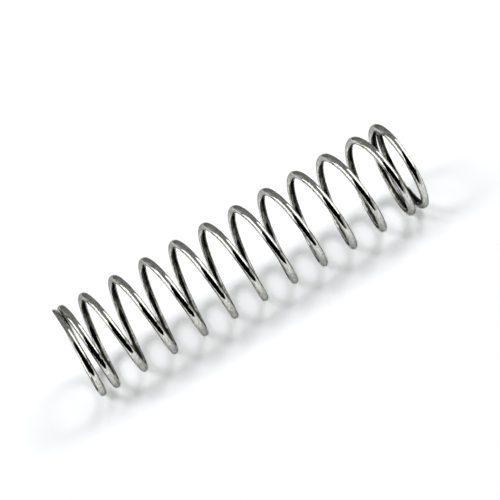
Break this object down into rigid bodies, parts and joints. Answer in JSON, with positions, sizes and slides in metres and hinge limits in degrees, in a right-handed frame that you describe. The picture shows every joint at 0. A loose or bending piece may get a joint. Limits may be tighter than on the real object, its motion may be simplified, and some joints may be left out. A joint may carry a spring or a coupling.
{
  "type": "compression spring",
  "caption": "Slim compression coil spring of round steel wire, right-hand wound, with closed and ground ends.",
  "frame": {"origin": "centre of the lower ground seat, on the coil's axis, which is the bottom centre of the part's box", "axes": "+Z along the coil's axis from the lower seat to the upper one; the lower wire tip lies towards -X and the wire winds upwards right-handed"},
  "size_m": [0.01, 0.01, 0.0384],
  "materials": {
    "spring_steel": "bright drawn wire"
  },
  "bodies": {
    "root": {"spring_wire": "spring_steel"}
  },
  "joints": []
}
